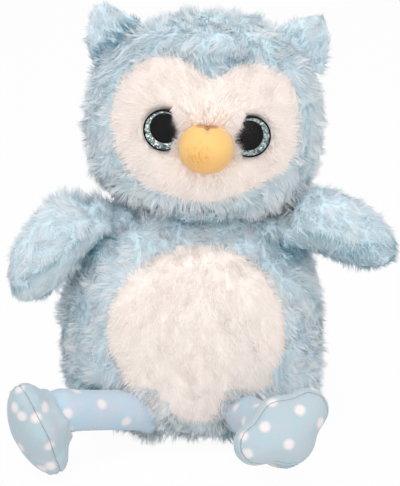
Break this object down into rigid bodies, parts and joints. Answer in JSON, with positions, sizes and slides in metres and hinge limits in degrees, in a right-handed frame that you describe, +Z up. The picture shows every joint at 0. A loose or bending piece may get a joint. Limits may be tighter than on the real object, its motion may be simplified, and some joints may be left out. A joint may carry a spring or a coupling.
{
  "type": "plush owl",
  "caption": "Seated plush owl with a round masked head, tufted ears, oval belly panel, wide wings, dotted legs and mitten feet, glossy eyes and a ball beak, jointed at neck and limbs.",
  "frame": {"origin": "middle of the flat seat, under the torso's axis", "axes": "the owl faces -Y, +Z is up, +X is the side of its raised foot"},
  "size_m": [0.2089, 0.1856, 0.2334],
  "materials": {
    "blue_plush": "long fluffy pale blue pile",
    "white_plush": "long fluffy warm white pile",
    "dotted_velboa": "short pale blue pile printed with white dots",
    "yellow_velboa": "short apricot yellow pile",
    "stuffing": "loose white fibre",
    "black_plastic": "glossy black",
    "glitter_foil": "grey glitter",
    "smoked_lens": "clear smoked dome",
    "white_plastic": "plain moulded"
  },
  "bodies": {
    "trunk": {"torso_cover": "blue_plush", "belly_panel": "white_plush", "torso_stuffing": "stuffing"},
    "neck": {"neck_plug": "stuffing"},
    "head": {"head_cover": "blue_plush", "face_panel": "white_plush", "head_stuffing": "stuffing", "beak_cover": "yellow_velboa", "beak_stuffing": "stuffing", "eye_plate_left": "black_plastic", "eye_foil_left": "glitter_foil", "eye_lens_left": "smoked_lens", "eye_washer_left": "white_plastic", "eye_plate_right": "black_plastic", "eye_foil_right": "glitter_foil", "eye_lens_right": "smoked_lens", "eye_washer_right": "white_plastic"},
    "ear_left": {"ear_front_left": "blue_plush", "ear_back_left": "blue_plush"},
    "shoulder_left": {"shoulder_plug_left": "stuffing"},
    "wing_left": {"wing_upper_left": "blue_plush", "wing_under_left": "blue_plush", "wing_stuffing_left": "stuffing"},
    "hip_left": {"hip_plug_left": "stuffing"},
    "leg_left": {"leg_cover_left": "dotted_velboa", "leg_stuffing_left": "stuffing"},
    "foot_left": {"foot_instep_left": "dotted_velboa", "foot_sole_left": "dotted_velboa", "foot_stuffing_left": "stuffing"},
    "ear_right": {"ear_front_right": "blue_plush", "ear_back_right": "blue_plush"},
    "shoulder_right": {"shoulder_plug_right": "stuffing"},
    "wing_right": {"wing_upper_right": "blue_plush", "wing_under_right": "blue_plush", "wing_stuffing_right": "stuffing"},
    "hip_right": {"hip_plug_right": "stuffing"},
    "leg_right": {"leg_cover_right": "dotted_velboa", "leg_stuffing_right": "stuffing"},
    "foot_right": {"foot_instep_right": "dotted_velboa", "foot_sole_right": "dotted_velboa", "foot_stuffing_right": "stuffing"}
  },
  "joints": [
    {"name": "head_turn", "type": "hinge", "parent": "trunk", "child": "neck", "pos_m": [0.005, -0.0015, 0.15], "axis": [0, 0, 1], "range_deg": [-40, 40], "stiffness_Nm_per_rad": 0.4},
    {"name": "head_nod", "type": "hinge", "parent": "neck", "child": "head", "pos_m": [0.005, -0.0015, 0.15], "axis": [1, 0, 0], "range_deg": [-5, 5], "stiffness_Nm_per_rad": 0.8},
    {"name": "ear_left_bend", "type": "hinge", "parent": "head", "child": "ear_left", "pos_m": [-0.03954, -0.0015, 0.21242], "axis": [0.8746, 0, 0.4848], "range_deg": [-8, 8], "stiffness_Nm_per_rad": 0.01},
    {"name": "wing_left_swing", "type": "hinge", "parent": "trunk", "child": "shoulder_left", "pos_m": [-0.05, -0.02, 0.12], "axis": [1, 0, 0], "range_deg": [-12, 3], "stiffness_Nm_per_rad": 0.3},
    {"name": "wing_left_lift", "type": "hinge", "parent": "shoulder_left", "child": "wing_left", "pos_m": [-0.05, -0.02, 0.12], "axis": [0, 1, 0], "range_deg": [-2, 12], "stiffness_Nm_per_rad": 0.3},
    {"name": "leg_left_lift", "type": "hinge", "parent": "trunk", "child": "hip_left", "pos_m": [-0.024, -0.044, 0.021], "axis": [-1, 0, 0], "range_deg": [-7, 7], "stiffness_Nm_per_rad": 0.4},
    {"name": "leg_left_spread", "type": "hinge", "parent": "hip_left", "child": "leg_left", "pos_m": [-0.024, -0.044, 0.021], "axis": [0, 0, -1], "range_deg": [-7, 7], "stiffness_Nm_per_rad": 0.4},
    {"name": "foot_left_flex", "type": "hinge", "parent": "leg_left", "child": "foot_left", "pos_m": [-0.06717, -0.07423, 0.03278], "axis": [0.3225, 0.1185, -0.9391], "range_deg": [-8, 8], "stiffness_Nm_per_rad": 0.1},
    {"name": "ear_right_bend", "type": "hinge", "parent": "head", "child": "ear_right", "pos_m": [0.05582, -0.0015, 0.20742], "axis": [0.8192, 0, -0.5736], "range_deg": [-8, 8], "stiffness_Nm_per_rad": 0.01},
    {"name": "wing_right_swing", "type": "hinge", "parent": "trunk", "child": "shoulder_right", "pos_m": [0.053, -0.02, 0.114], "axis": [1, 0, 0], "range_deg": [-2, 10], "stiffness_Nm_per_rad": 0.3},
    {"name": "wing_right_lift", "type": "hinge", "parent": "shoulder_right", "child": "wing_right", "pos_m": [0.053, -0.02, 0.114], "axis": [0, -1, 0], "range_deg": [-6, 2], "stiffness_Nm_per_rad": 0.3},
    {"name": "leg_right_lift", "type": "hinge", "parent": "trunk", "child": "hip_right", "pos_m": [0.024, -0.044, 0.021], "axis": [-1, 0, 0], "range_deg": [-7, 7], "stiffness_Nm_per_rad": 0.4},
    {"name": "leg_right_spread", "type": "hinge", "parent": "hip_right", "child": "leg_right", "pos_m": [0.024, -0.044, 0.021], "axis": [0, 0, 1], "range_deg": [-7, 7], "stiffness_Nm_per_rad": 0.4},
    {"name": "foot_right_flex", "type": "hinge", "parent": "leg_right", "child": "foot_right", "pos_m": [0.04316, -0.09392, 0.02851], "axis": [0.8324, 0.3443, 0.4342], "range_deg": [-8, 8], "stiffness_Nm_per_rad": 0.1}
  ]
}
